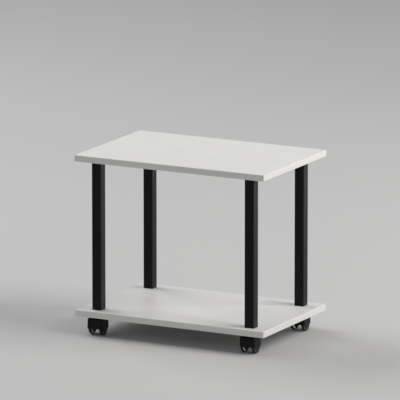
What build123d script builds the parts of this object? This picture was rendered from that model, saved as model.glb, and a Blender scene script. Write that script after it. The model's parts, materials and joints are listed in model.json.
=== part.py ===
"""Mobile printer stand: two laminated boards on four square posts, on twin-wheel casters.

Frame: millimetres, +Z up, +X to the stand's right, -Y to its front. The origin is on the floor,
at the middle of the stand's footprint. Each piece is one STEP file in parts/, named as its node.
"""

import math
import os

from build123d import *

os.makedirs("parts", exist_ok=True)

# ---------------------------------------------------------------- driving dimensions
# Stand
STAND_WIDTH = 520.0
STAND_DEPTH = 340.0
STAND_HEIGHT = 450.0
BOARD_THICKNESS = 16.0
CASTER_HEIGHT = 46.0  # floor to the underside of the lower board

# Edge banding, 2 mm plastic glued on the board cores
BAND_THICKNESS = 2.0
BAND_ROUNDING = 1.5
BAND_CORNER = 2.0

# Posts: square steel tube
POST_SIZE = 25.0
POST_WALL = 1.2
POST_CORNER = 2.0
POST_SIDE_INSET = 37.5  # board end to the post's outer face
POST_FRONT_INSET = 20.0
POST_REAR_INSET = 26.0

# Fixings: M8 throughout, threads drawn plain at their outer diameter
THREAD_RADIUS = 4.0
CLEARANCE_RADIUS = 4.5
PLUG_LENGTH = 20.0
PLUG_BORE_RADIUS = 4.25
NUT_ACROSS_FLATS = 13.0
NUT_HEIGHT = 6.5
INSERT_RADIUS = 6.0
INSERT_LENGTH = 12.0
INSERT_HOLE_DEPTH = 13.0
STUD_LENGTH = 33.0
STUD_IN_INSERT = 11.0
STUD_KEY_FLATS = 4.0
STUD_KEY_DEPTH = 4.0
THREAD_CHAMFER = 0.8
WASHER_RADIUS = 9.0
WASHER_THICKNESS = 1.2

# Caster: hood on a swivel stem, two wheels on one axle
CASTER_TRAIL = 5.0  # the axle's distance in front of the stem
WHEEL_RADIUS = 17.5
HUB_INNER_FACE = 8.0  # from the caster's middle plane
DISC_INNER_FACE = 11.8
WHEEL_OUTER_FACE = 18.5
WHEEL_EDGE_ROUNDING = 1.2
HUB_RADIUS = 6.5
RIM_INNER_RADIUS = 14.0
DISH_DEPTH = 1.4
AXLE_RADIUS = 3.0
AXLE_HALF_LENGTH = 16.8
AXLE_CHAMFER = 0.5
RUNNING_CLEARANCE = 0.05
WHEEL_BORE_END = 17.2
SNAP_GROOVE_RADIUS = 2.60
SNAP_GROOVE_START = 13.4
SNAP_GROOVE_END = 15.2
SNAP_RIB_RADIUS = 2.68
SNAP_RIB_START = 13.8
SNAP_RIB_END = 14.8

HOOD_WIDTH = 42.2  # at the hem
HOOD_LENGTH = 41.0
HOOD_CORNER = 6.0
HOOD_WALL = 1.5
HOOD_TAPER = 2.0  # degrees, narrower at the top
HOOD_HEM = 16.5  # height of the hem above the floor
HOOD_TOP = 42.0
HOOD_ROOF = 2.0
HOOD_TOP_ROUNDING = 3.5
KEEL_HALF_WIDTH = 7.3
KEEL_HALF_LENGTH = 19.2
KEEL_HIP = 22.0  # height below which the keel narrows to a boss round the axle
KEEL_SHOULDER = 34.0  # height at which the keel narrows to the stem socket
KEEL_BOSS_RADIUS = 5.5
SOCKET_HALF_LENGTH = 15.0
LIP_HALF_WIDTH = 7.0  # at the hem
LIP_TIP = 7.5  # height of the lip's point above the floor
LIP_OUTER_RADIUS = 20.4
LIP_INNER_RADIUS = 18.9
LIP_POINT_ROUNDING = 1.0
LIP_OVERLAP = 1.0  # how far the lip runs up inside the hood's wall
NOTCH_TOP = 19.2  # the front hem rises to this height beside the lip
NOTCH_END = 12.0  # and is level again from here outwards

STEM_FOOT = 23.4
STEM_FOOT_CHAMFER = 0.5
STEM_SOCKET_FLOOR = 23.0
STEM_SHANK_LENGTH = 40.0
COLLAR_BOTTOM = 42.3
COLLAR_ACROSS_FLATS = 15.0
RING_BOTTOM = 26.2
RING_THICKNESS = 1.2
RING_OUTER_RADIUS = 5.0
RING_INNER_RADIUS = 3.28
RING_GAP = 3.0
STEM_GROOVE_RADIUS = 3.2
STEM_GROOVE_MARGIN = 0.2

# ---------------------------------------------------------------- derived dimensions
SHELF_TOP = CASTER_HEIGHT + BOARD_THICKNESS
TOP_UNDERSIDE = STAND_HEIGHT - BOARD_THICKNESS
POST_LENGTH = TOP_UNDERSIDE - SHELF_TOP
POST_BORE = POST_SIZE - 2 * POST_WALL
POST_X = STAND_WIDTH / 2 - POST_SIDE_INSET - POST_SIZE / 2
POST_FRONT_Y = -STAND_DEPTH / 2 + POST_FRONT_INSET + POST_SIZE / 2
POST_REAR_Y = STAND_DEPTH / 2 - POST_REAR_INSET - POST_SIZE / 2
CORE_WIDTH = STAND_WIDTH - 2 * BAND_THICKNESS
CORE_DEPTH = STAND_DEPTH - 2 * BAND_THICKNESS
COLLAR_TOP = CASTER_HEIGHT - WASHER_THICKNESS

STATIONS = {
    "front_left": (-POST_X, POST_FRONT_Y),
    "front_right": (POST_X, POST_FRONT_Y),
    "rear_left": (-POST_X, POST_REAR_Y),
    "rear_right": (POST_X, POST_REAR_Y),
}
POST_AXES = [Location((x, y, 0)) for x, y in STATIONS.values()]


def save(name, part):
    """Label one finished piece with its node name and write its STEP file."""
    part.label = name
    export_step(part, f"parts/{name}.step")


def side_plane(x, y, z):
    """Plane at a point that looks along +X: its x runs along +Y and its y along +Z."""
    return Plane(origin=(x, y, z), x_dir=(0, 1, 0), z_dir=(1, 0, 0))


def front_plane(x, y, z):
    """Plane at a point that looks along -Y: its x runs along +X and its y along +Z."""
    return Plane(origin=(x, y, z), x_dir=(1, 0, 0), z_dir=(0, -1, 0))


# ---------------------------------------------------------------- boards
# Top board core: blind holes in its underside take the insert nuts.
with BuildPart() as top_board:
    with BuildSketch(Plane.XY.offset(TOP_UNDERSIDE)):
        Rectangle(CORE_WIDTH, CORE_DEPTH)
    extrude(amount=BOARD_THICKNESS)
    with BuildSketch(Plane.XY.offset(TOP_UNDERSIDE)):
        with Locations(*POST_AXES):
            Circle(INSERT_RADIUS)
    extrude(amount=INSERT_HOLE_DEPTH, mode=Mode.SUBTRACT)
save("top_board", top_board.part)

# Lower board core: the caster stems pass through it into the posts.
with BuildPart() as lower_board:
    with BuildSketch(Plane.XY.offset(CASTER_HEIGHT)):
        Rectangle(CORE_WIDTH, CORE_DEPTH)
        with Locations(*POST_AXES):
            Circle(CLEARANCE_RADIUS, mode=Mode.SUBTRACT)
    extrude(amount=BOARD_THICKNESS)
save("lower_board", lower_board.part)


def build_band(bottom):
    """The whole band round one board, its outer edges eased all the way round."""
    with BuildPart() as band:
        with BuildSketch(Plane.XY.offset(bottom)):
            RectangleRounded(STAND_WIDTH, STAND_DEPTH, BAND_CORNER)
        extrude(amount=BOARD_THICKNESS)
        rims = band.faces().filter_by(Axis.Z).edges()
        fillet(rims, BAND_ROUNDING)
        with BuildSketch(Plane.XY.offset(bottom)):
            Rectangle(CORE_WIDTH, CORE_DEPTH)
        extrude(amount=BOARD_THICKNESS, mode=Mode.SUBTRACT)
    return band.part


def cut_strip(band, bottom, centre, width, depth):
    """One straight strip of a band: the part of it inside an upright box."""
    with BuildPart() as strip:
        add(band)
        with BuildSketch(Plane.XY.offset(bottom)):
            with Locations(centre):
                Rectangle(width, depth)
        extrude(amount=BOARD_THICKNESS, mode=Mode.INTERSECT)
    return strip.part


# Butt joints: the front and rear strips run the full width, the side strips fit between them.
LONG_STRIP_Y = (STAND_DEPTH - BAND_THICKNESS) / 2
SIDE_STRIP_X = (STAND_WIDTH - BAND_THICKNESS) / 2
STRIPS = {
    "front": ((0, -LONG_STRIP_Y), STAND_WIDTH, BAND_THICKNESS),
    "rear": ((0, LONG_STRIP_Y), STAND_WIDTH, BAND_THICKNESS),
    "left": ((-SIDE_STRIP_X, 0), BAND_THICKNESS, CORE_DEPTH),
    "right": ((SIDE_STRIP_X, 0), BAND_THICKNESS, CORE_DEPTH),
}
for board, board_bottom in {"top": TOP_UNDERSIDE, "lower": CASTER_HEIGHT}.items():
    whole_band = build_band(board_bottom)
    for side, (centre, width, depth) in STRIPS.items():
        save(f"{board}_band_{side}", cut_strip(whole_band, board_bottom, centre, width, depth))

# ---------------------------------------------------------------- fixings in the boards and posts
# Insert nuts: flush in the top board's underside, threaded right through.
with BuildPart() as insert_nuts:
    with BuildSketch(Plane.XY.offset(TOP_UNDERSIDE)):
        with Locations(*POST_AXES):
            Circle(INSERT_RADIUS)
            Circle(THREAD_RADIUS, mode=Mode.SUBTRACT)
    extrude(amount=INSERT_LENGTH)
save("top_insert_nuts", insert_nuts.part)

# Headless studs: each joins a post's top plug to an insert nut, with a hex key socket below.
STUD_TOP = TOP_UNDERSIDE + STUD_IN_INSERT
STUD_BOTTOM = STUD_TOP - STUD_LENGTH
with BuildPart() as joint_studs:
    with BuildSketch(Plane.XY.offset(STUD_BOTTOM)):
        with Locations(*POST_AXES):
            Circle(THREAD_RADIUS)
    extrude(amount=STUD_LENGTH)
    chamfer(joint_studs.faces().filter_by(Axis.Z).edges(), THREAD_CHAMFER)
    with BuildSketch(Plane.XY.offset(STUD_BOTTOM)):
        with Locations(*POST_AXES):
            RegularPolygon(STUD_KEY_FLATS / 2, 6, major_radius=False)
    extrude(amount=STUD_KEY_DEPTH, mode=Mode.SUBTRACT)
save("post_joint_studs", joint_studs.part)


def build_plug(foot, mouth, inward):
    """A square plug in a tube's end: its outer face at the mouth, a nut pocket at its inner end.

    foot is the post's axis plane on the floor, mouth the height of the tube's end, and inward
    +1 or -1 for the way into the tube.
    """
    inner_end = mouth + inward * PLUG_LENGTH
    with BuildPart() as plug:
        with BuildSketch(foot.offset(mouth)):
            RectangleRounded(POST_BORE, POST_BORE, POST_CORNER - POST_WALL)
            Circle(PLUG_BORE_RADIUS, mode=Mode.SUBTRACT)
        extrude(amount=inward * PLUG_LENGTH)
        with BuildSketch(foot.offset(inner_end)):
            RegularPolygon(NUT_ACROSS_FLATS / 2, 6, major_radius=False)
        extrude(amount=-inward * NUT_HEIGHT, mode=Mode.SUBTRACT)
    return plug.part


# Captive hex nuts in the inner ends of the plugs: four low in the posts, four high.
NUT_BOTTOMS = (SHELF_TOP + PLUG_LENGTH - NUT_HEIGHT, TOP_UNDERSIDE - PLUG_LENGTH)
with BuildPart() as plug_nuts:
    for nut_bottom in NUT_BOTTOMS:
        with BuildSketch(Plane.XY.offset(nut_bottom)):
            with Locations(*POST_AXES):
                RegularPolygon(NUT_ACROSS_FLATS / 2, 6, major_radius=False)
                Circle(THREAD_RADIUS, mode=Mode.SUBTRACT)
        extrude(amount=NUT_HEIGHT)
save("post_plug_nuts", plug_nuts.part)

# Washers between the caster collars and the lower board's underside.
with BuildPart() as stem_washers:
    with BuildSketch(Plane.XY.offset(COLLAR_TOP)):
        with Locations(*POST_AXES):
            Circle(WASHER_RADIUS)
            Circle(CLEARANCE_RADIUS, mode=Mode.SUBTRACT)
    extrude(amount=WASHER_THICKNESS)
save("caster_washers", stem_washers.part)


# ---------------------------------------------------------------- posts
def build_post(foot):
    """One square steel tube between the two boards."""
    with BuildPart() as post:
        with BuildSketch(foot.offset(SHELF_TOP)):
            RectangleRounded(POST_SIZE, POST_SIZE, POST_CORNER)
            RectangleRounded(POST_BORE, POST_BORE, POST_CORNER - POST_WALL, mode=Mode.SUBTRACT)
        extrude(amount=POST_LENGTH)
    return post.part


# ---------------------------------------------------------------- casters
def build_stem(foot):
    """Swivel stem: a journal with a ring groove, a hex collar and an M8 shank."""
    groove_bottom = RING_BOTTOM - STEM_GROOVE_MARGIN
    groove_top = RING_BOTTOM + RING_THICKNESS + STEM_GROOVE_MARGIN
    shank_top = COLLAR_TOP + STEM_SHANK_LENGTH
    section = front_plane(foot.origin.X, foot.origin.Y, 0)
    with BuildPart() as stem:
        with BuildSketch(section):
            with BuildLine():
                Polyline(
                    (0, STEM_FOOT),
                    (THREAD_RADIUS - STEM_FOOT_CHAMFER, STEM_FOOT),
                    (THREAD_RADIUS, STEM_FOOT + STEM_FOOT_CHAMFER),
                    (THREAD_RADIUS, groove_bottom),
                    (STEM_GROOVE_RADIUS, groove_bottom),
                    (STEM_GROOVE_RADIUS, groove_top),
                    (THREAD_RADIUS, groove_top),
                    (THREAD_RADIUS, shank_top - THREAD_CHAMFER),
                    (THREAD_RADIUS - THREAD_CHAMFER, shank_top),
                    (0, shank_top),
                    close=True,
                )
            make_face()
        revolve(axis=Axis(foot.origin, (0, 0, 1)))
        with BuildSketch(foot.offset(COLLAR_BOTTOM)):
            RegularPolygon(COLLAR_ACROSS_FLATS / 2, 6, major_radius=False)
        extrude(amount=COLLAR_TOP - COLLAR_BOTTOM)
    return stem.part


def build_keel(foot):
    """The web between the wheels: it narrows downwards to a boss round the axle."""
    x, y = foot.origin.X, foot.origin.Y - CASTER_TRAIL
    hip = KEEL_HIP - WHEEL_RADIUS
    shoulder = KEEL_SHOULDER - WHEEL_RADIUS
    roof_inside = HOOD_TOP - HOOD_ROOF / 2 - WHEEL_RADIUS
    # The flank runs from the hip straight to where it touches the boss.
    hip_bearing = math.atan2(hip, KEEL_HALF_LENGTH)
    touch = hip_bearing - math.acos(KEEL_BOSS_RADIUS / math.hypot(hip, KEEL_HALF_LENGTH))
    front_half = [
        (KEEL_BOSS_RADIUS * math.cos(touch), KEEL_BOSS_RADIUS * math.sin(touch)),
        (KEEL_HALF_LENGTH, hip),
        (KEEL_HALF_LENGTH, shoulder),
        (SOCKET_HALF_LENGTH, shoulder),
        (SOCKET_HALF_LENGTH, roof_inside),
    ]
    mirrored = [(-along, up) for along, up in reversed(front_half)]
    with BuildPart() as keel:
        with BuildSketch(side_plane(x, y, WHEEL_RADIUS)):
            Circle(KEEL_BOSS_RADIUS)
            with BuildLine():
                Polyline(*front_half, *mirrored, close=True)
            make_face()
        extrude(amount=KEEL_HALF_WIDTH, both=True)
    return keel.part


def build_lip(foot):
    """The pointed tongue below the hood's front hem, curved round the wheels' axis."""
    x, y = foot.origin.X, foot.origin.Y - CASTER_TRAIL
    slope = LIP_HALF_WIDTH / (HOOD_HEM - LIP_TIP)
    lip_top = HOOD_HEM + LIP_OVERLAP
    top_half_width = LIP_HALF_WIDTH + slope * LIP_OVERLAP
    with BuildPart() as lip:
        with BuildSketch(side_plane(x, y, WHEEL_RADIUS)):
            Circle(LIP_OUTER_RADIUS)
            Circle(LIP_INNER_RADIUS, mode=Mode.SUBTRACT)
        extrude(amount=top_half_width, both=True)
        with BuildSketch(front_plane(x, y, 0)) as pointed:
            with BuildLine():
                Polyline((0, LIP_TIP), (top_half_width, lip_top), (-top_half_width, lip_top), close=True)
            make_face()
            fillet(pointed.vertices().sort_by(Axis.Y)[0], LIP_POINT_ROUNDING)
        extrude(amount=HOOD_LENGTH, mode=Mode.INTERSECT)
    return lip.part


def build_hood(foot):
    """The caster's body: a tapered shell over both wheels, its keel, lip and bores."""
    x, y = foot.origin.X, foot.origin.Y - CASTER_TRAIL
    shell_plane = Plane(origin=(x, y, HOOD_HEM))
    cavity_width = HOOD_WIDTH - 2 * HOOD_WALL
    cavity_length = HOOD_LENGTH - 2 * HOOD_WALL
    cavity_height = HOOD_TOP - HOOD_ROOF - HOOD_HEM
    keel = build_keel(foot)
    lip = build_lip(foot)
    with BuildPart() as hood:
        with BuildSketch(shell_plane):
            RectangleRounded(HOOD_WIDTH, HOOD_LENGTH, HOOD_CORNER)
        extrude(amount=HOOD_TOP - HOOD_HEM, taper=HOOD_TAPER)
        fillet(hood.faces().sort_by(Axis.Z)[-1].edges(), HOOD_TOP_ROUNDING)
        with BuildSketch(shell_plane):
            RectangleRounded(cavity_width, cavity_length, HOOD_CORNER - HOOD_WALL)
        extrude(amount=cavity_height, taper=HOOD_TAPER, mode=Mode.SUBTRACT)
        add(keel)
        add(lip)
        # Notches that carry the lip's slanting edges up into the front hem
        with BuildSketch(front_plane(x, y - SOCKET_HALF_LENGTH, 0)):
            with BuildLine():
                Polyline(
                    (LIP_HALF_WIDTH, HOOD_HEM),
                    (LIP_HALF_WIDTH * (NOTCH_TOP - LIP_TIP) / (HOOD_HEM - LIP_TIP), NOTCH_TOP),
                    (NOTCH_END, HOOD_HEM),
                    close=True,
                )
            make_face()
            mirror(about=Plane.YZ)
        extrude(amount=HOOD_LENGTH, mode=Mode.SUBTRACT)
        # Axle bore through the keel
        with BuildSketch(side_plane(x, y, WHEEL_RADIUS)):
            Circle(AXLE_RADIUS)
        extrude(amount=KEEL_HALF_WIDTH, both=True, mode=Mode.SUBTRACT)
        # Stem socket, with the groove that holds the retaining ring
        with BuildSketch(foot.offset(STEM_SOCKET_FLOOR)):
            Circle(THREAD_RADIUS + RUNNING_CLEARANCE)
        extrude(amount=HOOD_TOP - STEM_SOCKET_FLOOR, mode=Mode.SUBTRACT)
        with BuildSketch(foot.offset(RING_BOTTOM)):
            Circle(RING_OUTER_RADIUS)
        extrude(amount=RING_THICKNESS, mode=Mode.SUBTRACT)
    return hood.part


def build_ring(foot):
    """The split ring that keeps the stem in the hood, open towards the rear."""
    with BuildPart() as ring:
        with BuildSketch(foot.offset(RING_BOTTOM)):
            Circle(RING_OUTER_RADIUS)
            Circle(RING_INNER_RADIUS, mode=Mode.SUBTRACT)
            with Locations((0, RING_OUTER_RADIUS)):
                Rectangle(RING_GAP, 2 * RING_OUTER_RADIUS, mode=Mode.SUBTRACT)
        extrude(amount=RING_THICKNESS)
    return ring.part


def build_axle(foot):
    """The steel axle, with a snap groove near each end for the wheels."""
    x, y = foot.origin.X, foot.origin.Y - CASTER_TRAIL
    centre = (x, y, WHEEL_RADIUS)
    half = [
        (SNAP_GROOVE_START, AXLE_RADIUS),
        (SNAP_GROOVE_START, SNAP_GROOVE_RADIUS),
        (SNAP_GROOVE_END, SNAP_GROOVE_RADIUS),
        (SNAP_GROOVE_END, AXLE_RADIUS),
        (AXLE_HALF_LENGTH - AXLE_CHAMFER, AXLE_RADIUS),
        (AXLE_HALF_LENGTH, AXLE_RADIUS - AXLE_CHAMFER),
        (AXLE_HALF_LENGTH, 0),
    ]
    mirrored = [(-along, radius) for along, radius in reversed(half)]
    with BuildPart() as axle:
        with BuildSketch(front_plane(*centre)):
            with BuildLine():
                Polyline(*mirrored, *half, close=True)
            make_face()
        revolve(axis=Axis(centre, (1, 0, 0)))
    return axle.part


def build_wheel(foot, hand):
    """One wheel: a disc with a hub inside, dished outside, snapped on the axle.

    hand is -1 for the left wheel and +1 for the right.
    """
    x, y = foot.origin.X, foot.origin.Y - CASTER_TRAIL
    centre = (x, y, WHEEL_RADIUS)
    bore_radius = AXLE_RADIUS + RUNNING_CLEARANCE
    dish_floor = WHEEL_OUTER_FACE - DISH_DEPTH
    profile = [
        (HUB_INNER_FACE, bore_radius),
        (SNAP_RIB_START, bore_radius),
        (SNAP_RIB_START, SNAP_RIB_RADIUS),
        (SNAP_RIB_END, SNAP_RIB_RADIUS),
        (SNAP_RIB_END, bore_radius),
        (WHEEL_BORE_END, bore_radius),
        (WHEEL_BORE_END, 0),
        (WHEEL_OUTER_FACE, 0),
        (WHEEL_OUTER_FACE, HUB_RADIUS),
        (dish_floor, HUB_RADIUS + DISH_DEPTH),
        (dish_floor, RIM_INNER_RADIUS - DISH_DEPTH),
        (WHEEL_OUTER_FACE, RIM_INNER_RADIUS),
        (WHEEL_OUTER_FACE, WHEEL_RADIUS),
        (DISC_INNER_FACE, WHEEL_RADIUS),
        (DISC_INNER_FACE, HUB_RADIUS),
        (HUB_INNER_FACE, HUB_RADIUS),
    ]
    with BuildPart() as wheel:
        with BuildSketch(front_plane(*centre)) as section:
            with BuildLine():
                Polyline(*[(hand * along, radius) for along, radius in profile], close=True)
            make_face()
            fillet(section.vertices().group_by(Axis.Y)[-1], WHEEL_EDGE_ROUNDING)
        revolve(axis=Axis(centre, (1, 0, 0)))
    return wheel.part


for station, (post_x, post_y) in STATIONS.items():
    post_foot = Plane(origin=(post_x, post_y, 0))
    save(f"post_{station}", build_post(post_foot))
    save(f"post_plug_bottom_{station}", build_plug(post_foot, SHELF_TOP, 1))
    save(f"post_plug_top_{station}", build_plug(post_foot, TOP_UNDERSIDE, -1))
    save(f"caster_stem_{station}", build_stem(post_foot))
    save(f"caster_hood_{station}", build_hood(post_foot))
    save(f"caster_ring_{station}", build_ring(post_foot))
    save(f"caster_axle_{station}", build_axle(post_foot))
    save(f"caster_wheel_left_{station}", build_wheel(post_foot, -1))
    save(f"caster_wheel_right_{station}", build_wheel(post_foot, 1))
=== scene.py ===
"""Looks of the mobile printer stand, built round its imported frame.

Everything is in metres in the frame's own axes: +Z up, +X to the stand's right, -Y to its front,
with the floor at z = 0. Boards, edge bands, posts and fixings are the frame's own pieces in
procedural finishes. The caster hoods, with the keels inside them, and the wheels are finer surfaces
that stand for the frame's plain ones, and each wheel carries a steel plate of its own.
"""

import json
import logging
import math
from collections.abc import Sequence
from dataclasses import dataclass
from enum import Enum
from typing import Any

import bpy
import numpy as np
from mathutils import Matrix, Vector


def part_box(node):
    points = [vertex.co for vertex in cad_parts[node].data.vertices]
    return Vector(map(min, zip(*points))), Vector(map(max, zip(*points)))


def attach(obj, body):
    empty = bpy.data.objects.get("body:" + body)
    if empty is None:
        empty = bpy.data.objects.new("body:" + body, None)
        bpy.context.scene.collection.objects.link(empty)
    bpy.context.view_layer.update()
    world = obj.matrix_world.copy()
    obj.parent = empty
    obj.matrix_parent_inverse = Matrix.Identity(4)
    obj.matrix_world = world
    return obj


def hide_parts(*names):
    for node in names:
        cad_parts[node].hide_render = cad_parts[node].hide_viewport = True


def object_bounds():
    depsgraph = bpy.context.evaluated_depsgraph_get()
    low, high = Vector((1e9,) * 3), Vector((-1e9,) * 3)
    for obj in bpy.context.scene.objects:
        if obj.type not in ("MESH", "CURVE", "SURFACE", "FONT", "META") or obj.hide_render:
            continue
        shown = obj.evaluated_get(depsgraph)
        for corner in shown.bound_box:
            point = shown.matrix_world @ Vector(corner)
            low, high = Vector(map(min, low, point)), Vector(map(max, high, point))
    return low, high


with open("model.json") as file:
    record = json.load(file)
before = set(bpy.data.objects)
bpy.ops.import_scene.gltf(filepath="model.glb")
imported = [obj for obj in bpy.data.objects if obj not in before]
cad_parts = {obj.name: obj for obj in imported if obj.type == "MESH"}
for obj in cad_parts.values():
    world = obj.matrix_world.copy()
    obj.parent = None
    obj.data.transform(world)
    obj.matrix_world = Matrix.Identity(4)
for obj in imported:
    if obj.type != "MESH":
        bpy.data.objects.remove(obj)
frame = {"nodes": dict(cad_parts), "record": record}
CAD_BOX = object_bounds()
MM = 0.001
NO_TURN = 1e-6  # radians; a smaller turn leaves a route's corner sharp
LEVEL_MARGIN = 0.01  # millimetres; how near the keel's roof counts as on it
FACING_FRONT = -0.999  # a normal's part along Y is below this on the front straight
Numbers = np.ndarray
Triple = tuple[float, float, float]
Colour = Triple
Span = tuple[float, float]

log = logging.getLogger("printer_stand")


class Hand(Enum):
    """Which wheel of a caster a piece belongs to; the value is its side along X."""

    LEFT = -1
    RIGHT = 1


class Station(Enum):
    """The four corners where a post and its caster stand."""

    FRONT_LEFT = "front_left"
    FRONT_RIGHT = "front_right"
    REAR_LEFT = "rear_left"
    REAR_RIGHT = "rear_right"


class Slot(Enum):
    """The record's material slots."""

    LAMINATE = "white_laminate"
    BAND = "white_edge_band"
    POWDER_COAT = "black_powder_coat"
    HOOD = "black_hood_nylon"
    WHEEL = "black_wheel_nylon"
    PLUG = "black_plug_nylon"
    ZINC = "zinc_steel"
    SPRING = "spring_steel"


# ------------------------------------------------------------------------------- shader maths
class Signal:
    """A number that varies over a surface: one output socket with Python's arithmetic."""

    def __init__(self, web: "NodeWeb", socket: bpy.types.NodeSocket) -> None:
        """Wraps an output socket of a node in the web."""
        self.web = web
        self.socket = socket

    def _math(self, operation: str, *values: "Signal | float") -> "Signal":
        """Adds one Math node over the given values, in order."""
        node = self.web.node("ShaderNodeMath", {"operation": operation}, *values)
        return Signal(self.web, node.outputs[0])

    def __add__(self, other: "Signal | float") -> "Signal":
        """Self plus other."""
        return self._math("ADD", self, other)

    __radd__ = __add__

    def __sub__(self, other: "Signal | float") -> "Signal":
        """Self minus other."""
        return self._math("SUBTRACT", self, other)

    def __rsub__(self, other: "Signal | float") -> "Signal":
        """Other minus self."""
        return self._math("SUBTRACT", other, self)

    def __mul__(self, other: "Signal | float") -> "Signal":
        """Self times other."""
        return self._math("MULTIPLY", self, other)

    __rmul__ = __mul__

    def __abs__(self) -> "Signal":
        """Self without its sign."""
        return self._math("ABSOLUTE", self)

    def below(self, limit: "Signal | float") -> "Signal":
        """The smaller of self and limit."""
        return self._math("MINIMUM", self, limit)

    def above(self, limit: "Signal | float") -> "Signal":
        """The larger of self and limit."""
        return self._math("MAXIMUM", self, limit)

    def rise(self, start: float, end: float) -> "Signal":
        """A smooth step: 0 up to start, 1 from end, and an S curve between.

        Args:
            start: the value at which it leaves 0; it may be above end.
            end: the value at which it reaches 1.

        Returns:
            The step.
        """
        settings = {"interpolation_type": "SMOOTHSTEP"}
        node = self.web.node("ShaderNodeMapRange", settings, self, start, end, 0.0, 1.0)
        return Signal(self.web, node.outputs[0])


class NodeWeb:
    """One material's nodes: a Principled shader and what feeds it."""

    def __init__(self, name: str) -> None:
        """Starts a material with a Principled shader on its output.

        Args:
            name: the material's name.
        """
        self.material = bpy.data.materials.new(name)
        self.material.use_nodes = True
        self.tree = self.material.node_tree
        self.shader = self.tree.nodes["Principled BSDF"]
        where = self.tree.nodes.new("ShaderNodeTexCoord")
        self.place = where.outputs["Object"]
        self.uv = where.outputs["UV"]

    def node(
        self, kind: str, settings: dict[str, Any] | None = None, *values: Any
    ) -> bpy.types.Node:
        """Adds any node.

        Args:
            kind: the node's type name.
            settings: its properties, set before its inputs.
            values: its enabled inputs in order, as feed takes them.

        Returns:
            The new node.
        """
        node = self.tree.nodes.new(kind)
        for key, value in (settings or {}).items():
            setattr(node, key, value)
        sockets = [s for s in node.inputs if s.enabled]
        for socket, value in zip(sockets, values):
            self.feed(socket, value)
        return node

    def feed(self, socket: bpy.types.NodeSocket, value: Any) -> None:
        """Links a value into an input, or sets it there.

        Args:
            socket: the input.
            value: a Signal or a socket is linked, None is skipped, anything else is set.
        """
        if value is None:
            return
        if isinstance(value, Signal):
            self.tree.links.new(value.socket, socket)
        elif isinstance(value, bpy.types.NodeSocket):
            self.tree.links.new(value, socket)
        else:
            socket.default_value = value

    def set(self, **constants: Any) -> None:
        """Sets inputs of the shader that are the same all over; spaces in names are underscores."""
        for name, value in constants.items():
            self.shader.inputs[name.replace("_", " ")].default_value = value

    def drive(self, name: str, value: Any) -> None:
        """Feeds an input of the shader that varies over the surface."""
        self.feed(self.shader.inputs[name], value)

    def noise(
        self, grain: float, detail: float = 2.0, source: bpy.types.NodeSocket | None = None
    ) -> Signal:
        """Cloudy noise, about 0 to 1, with blots of the given size in metres."""
        node = self.node("ShaderNodeTexNoise", None, source or self.place, 1.0 / grain, detail)
        return Signal(self, node.outputs[0])

    def patches(self, look: "Patches") -> Signal:
        """Soft-edged patches: 1 inside them and 0 between."""
        return self.noise(look.grain, look.detail).rise(*look.span)

    def streaks(
        self,
        factors: Triple,
        detail: float = 2.0,
        grain: float = 1.0,
        source: bpy.types.NodeSocket | None = None,
    ) -> Signal:
        """Noise in coordinates times a factor along each axis, for marks that run one way.

        Args:
            factors: the factors; the marks are longest where the factor is smallest.
            detail: the noise's detail.
            grain: the size of its blots after the coordinates are multiplied.
            source: the coordinates, Object ones where none are given.

        Returns:
            The noise, about 0 to 1.
        """
        settings = {"operation": "MULTIPLY"}
        drawn = self.node("ShaderNodeVectorMath", settings, source or self.place, factors)
        return self.noise(grain, detail, drawn.outputs[0])

    def axes(self, source: bpy.types.NodeSocket | None = None) -> tuple[Signal, Signal, Signal]:
        """The three parts of a coordinate."""
        node = self.node("ShaderNodeSeparateXYZ", None, source or self.place)
        return tuple(Signal(self, out) for out in node.outputs)

    def blend(
        self, share: Signal, first: Colour | bpy.types.NodeSocket, second: Colour
    ) -> bpy.types.NodeSocket:
        """Mixes two colours.

        Args:
            share: 0 where the first colour shows and 1 where the second does.
            first: a colour, or the output of another blend.
            second: a colour.

        Returns:
            The mixed colour's output.
        """
        base = opaque(first) if isinstance(first, tuple) else first
        node = self.node("ShaderNodeMix", {"data_type": "RGBA"}, share, base, opaque(second))
        return next(out for out in node.outputs if out.enabled)

    def emboss(self, *layers: "tuple[Signal, Relief]") -> None:
        """Bumps the surface by height fields.

        Args:
            layers: one or more pairs of a height field and its relief.
        """
        normal = None
        for height, relief in layers:
            bump = self.node("ShaderNodeBump")
            self.feed(bump.inputs["Strength"], relief.strength)
            self.feed(bump.inputs["Distance"], relief.depth)
            self.feed(bump.inputs["Height"], height)
            self.feed(bump.inputs["Normal"], normal)
            normal = bump.outputs[0]
        self.drive("Normal", normal)


def opaque(colour: Colour) -> tuple[float, float, float, float]:
    """A colour with full alpha."""
    return (*colour, 1.0)


# ------------------------------------------------------------------------------------ finishes
@dataclass(frozen=True)
class Relief:
    """How a height field shows on a surface: its depth in metres and its strength."""

    depth: float
    strength: float


@dataclass(frozen=True)
class Patches:
    """Patches in a finish: the noise's grain in metres and detail, and where in it they rise."""

    grain: float
    detail: float
    span: Span


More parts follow.
